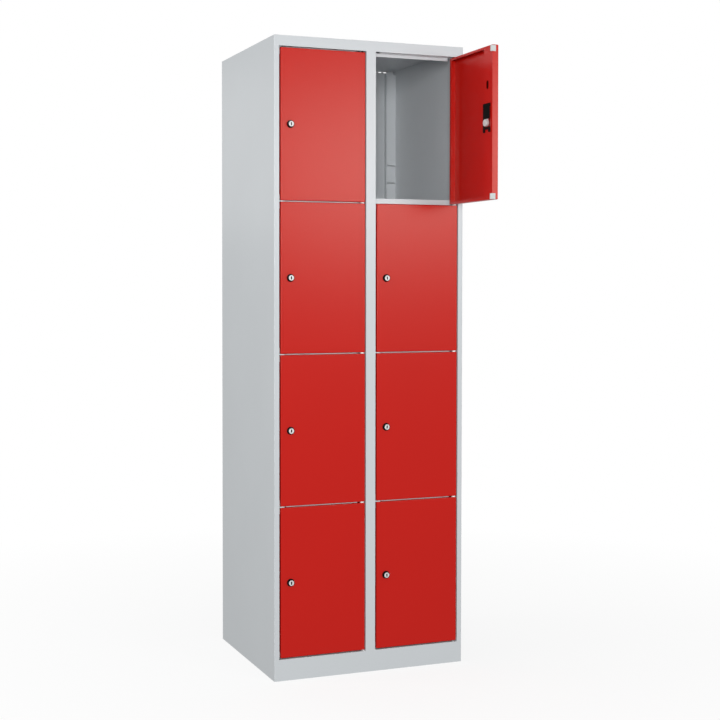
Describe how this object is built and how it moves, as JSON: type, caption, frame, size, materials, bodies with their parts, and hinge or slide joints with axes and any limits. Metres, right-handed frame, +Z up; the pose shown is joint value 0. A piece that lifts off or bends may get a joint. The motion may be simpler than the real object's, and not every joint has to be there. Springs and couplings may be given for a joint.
{
  "type": "compartment locker",
  "caption": "Free-standing sheet-steel locker with stacked compartments in side-by-side columns, flush hinged lockable doors and a flush plinth.",
  "frame": {"origin": "on the floor, at mid-width, in the plane of the carcass front", "axes": "+Z up, +Y from the front to the back, +X to the right of someone who faces the doors"},
  "size_m": [0.6, 0.7495, 1.85],
  "materials": {
    "carcass_paint": "fine satin powder coat, light grey",
    "door_paint": "fine satin powder coat, red",
    "lock_black": "moulded, matt black",
    "lock_metal": "nickel-plated zinc",
    "buffer_plastic": "soft moulded pad, pale grey",
    "bearing_plastic": "moulded, white",
    "pin_steel": "drawn bar",
    "foot_plastic": "moulded, black"
  },
  "bodies": {
    "carcass": {"left_side_panel": "carcass_paint", "right_side_panel": "carcass_paint", "rear_posts": "carcass_paint", "centre_partition": "carcass_paint", "roof_panel": "carcass_paint", "plinth_front": "carcass_paint", "back_panel": "carcass_paint", "top_stop_strips": "carcass_paint", "levelling_feet": "foot_plastic", "pivot_bearings": "bearing_plastic", "hinge_pins": "pin_steel", "floor_panel_left": "carcass_paint", "shelf_left_1": "carcass_paint", "shelf_left_2": "carcass_paint", "shelf_left_3": "carcass_paint", "floor_panel_right": "carcass_paint", "shelf_right_1": "carcass_paint", "shelf_right_2": "carcass_paint", "shelf_right_3": "carcass_paint"},
    "door_left_1": {"door_panel_left_1": "door_paint", "lock_housing_left_1": "lock_black", "door_buffers_left_1": "buffer_plastic"},
    "lock_left_1": {"lock_plug_left_1": "lock_metal", "lock_bolt_left_1": "lock_metal"},
    "door_left_2": {"door_panel_left_2": "door_paint", "lock_housing_left_2": "lock_black", "door_buffers_left_2": "buffer_plastic"},
    "lock_left_2": {"lock_plug_left_2": "lock_metal", "lock_bolt_left_2": "lock_metal"},
    "door_left_3": {"door_panel_left_3": "door_paint", "lock_housing_left_3": "lock_black", "door_buffers_left_3": "buffer_plastic"},
    "lock_left_3": {"lock_plug_left_3": "lock_metal", "lock_bolt_left_3": "lock_metal"},
    "door_left_4": {"door_panel_left_4": "door_paint", "lock_housing_left_4": "lock_black", "door_buffers_left_4": "buffer_plastic"},
    "lock_left_4": {"lock_plug_left_4": "lock_metal", "lock_bolt_left_4": "lock_metal"},
    "door_right_1": {"door_panel_right_1": "door_paint", "lock_housing_right_1": "lock_black", "door_buffers_right_1": "buffer_plastic"},
    "lock_right_1": {"lock_plug_right_1": "lock_metal", "lock_bolt_right_1": "lock_metal"},
    "door_right_2": {"door_panel_right_2": "door_paint", "lock_housing_right_2": "lock_black", "door_buffers_right_2": "buffer_plastic"},
    "lock_right_2": {"lock_plug_right_2": "lock_metal", "lock_bolt_right_2": "lock_metal"},
    "door_right_3": {"door_panel_right_3": "door_paint", "lock_housing_right_3": "lock_black", "door_buffers_right_3": "buffer_plastic"},
    "lock_right_3": {"lock_plug_right_3": "lock_metal", "lock_bolt_right_3": "lock_metal"},
    "door_right_4": {"door_panel_right_4": "door_paint", "lock_housing_right_4": "lock_black", "door_buffers_right_4": "buffer_plastic"},
    "lock_right_4": {"lock_plug_right_4": "lock_metal", "lock_bolt_right_4": "lock_metal"}
  },
  "joints": [
    {"name": "door_hinge_left_1", "type": "hinge", "parent": "carcass", "child": "door_left_1", "pos_m": [-0.025, 0.007, 1.59875], "axis": [0, 0, 1], "range_deg": [0, 105]},
    {"name": "lock_turn_left_1", "type": "hinge", "parent": "door_left_1", "child": "lock_left_1", "pos_m": [-0.2505, 0.007, 1.59875], "axis": [0, -1, 0], "range_deg": [0, 90]},
    {"name": "door_hinge_left_2", "type": "hinge", "parent": "carcass", "child": "door_left_2", "pos_m": [-0.025, 0.007, 1.16025], "axis": [0, 0, 1], "range_deg": [0, 105]},
    {"name": "lock_turn_left_2", "type": "hinge", "parent": "door_left_2", "child": "lock_left_2", "pos_m": [-0.2505, 0.007, 1.16025], "axis": [0, -1, 0], "range_deg": [0, 90]},
    {"name": "door_hinge_left_3", "type": "hinge", "parent": "carcass", "child": "door_left_3", "pos_m": [-0.025, 0.007, 0.72175], "axis": [0, 0, 1], "range_deg": [0, 105]},
    {"name": "lock_turn_left_3", "type": "hinge", "parent": "door_left_3", "child": "lock_left_3", "pos_m": [-0.2505, 0.007, 0.72175], "axis": [0, -1, 0], "range_deg": [0, 90]},
    {"name": "door_hinge_left_4", "type": "hinge", "parent": "carcass", "child": "door_left_4", "pos_m": [-0.025, 0.007, 0.28325], "axis": [0, 0, 1], "range_deg": [0, 105]},
    {"name": "lock_turn_left_4", "type": "hinge", "parent": "door_left_4", "child": "lock_left_4", "pos_m": [-0.2505, 0.007, 0.28325], "axis": [0, -1, 0], "range_deg": [0, 90]},
    {"name": "door_hinge_right_1", "type": "hinge", "parent": "carcass", "child": "door_right_1", "pos_m": [0.275, 0.007, 1.59875], "axis": [0, 0, 1], "range_deg": [-90, 15]},
    {"name": "lock_turn_right_1", "type": "hinge", "parent": "door_right_1", "child": "lock_right_1", "pos_m": [0.275, -0.2185, 1.59875], "axis": [1, 0, 0], "range_deg": [0, 90]},
    {"name": "door_hinge_right_2", "type": "hinge", "parent": "carcass", "child": "door_right_2", "pos_m": [0.275, 0.007, 1.16025], "axis": [0, 0, 1], "range_deg": [0, 105]},
    {"name": "lock_turn_right_2", "type": "hinge", "parent": "door_right_2", "child": "lock_right_2", "pos_m": [0.0495, 0.007, 1.16025], "axis": [0, -1, 0], "range_deg": [0, 90]},
    {"name": "door_hinge_right_3", "type": "hinge", "parent": "carcass", "child": "door_right_3", "pos_m": [0.275, 0.007, 0.72175], "axis": [0, 0, 1], "range_deg": [0, 105]},
    {"name": "lock_turn_right_3", "type": "hinge", "parent": "door_right_3", "child": "lock_right_3", "pos_m": [0.0495, 0.007, 0.72175], "axis": [0, -1, 0], "range_deg": [0, 90]},
    {"name": "door_hinge_right_4", "type": "hinge", "parent": "carcass", "child": "door_right_4", "pos_m": [0.275, 0.007, 0.28325], "axis": [0, 0, 1], "range_deg": [0, 105]},
    {"name": "lock_turn_right_4", "type": "hinge", "parent": "door_right_4", "child": "lock_right_4", "pos_m": [0.0495, 0.007, 0.28325], "axis": [0, -1, 0], "range_deg": [0, 90]}
  ]
}
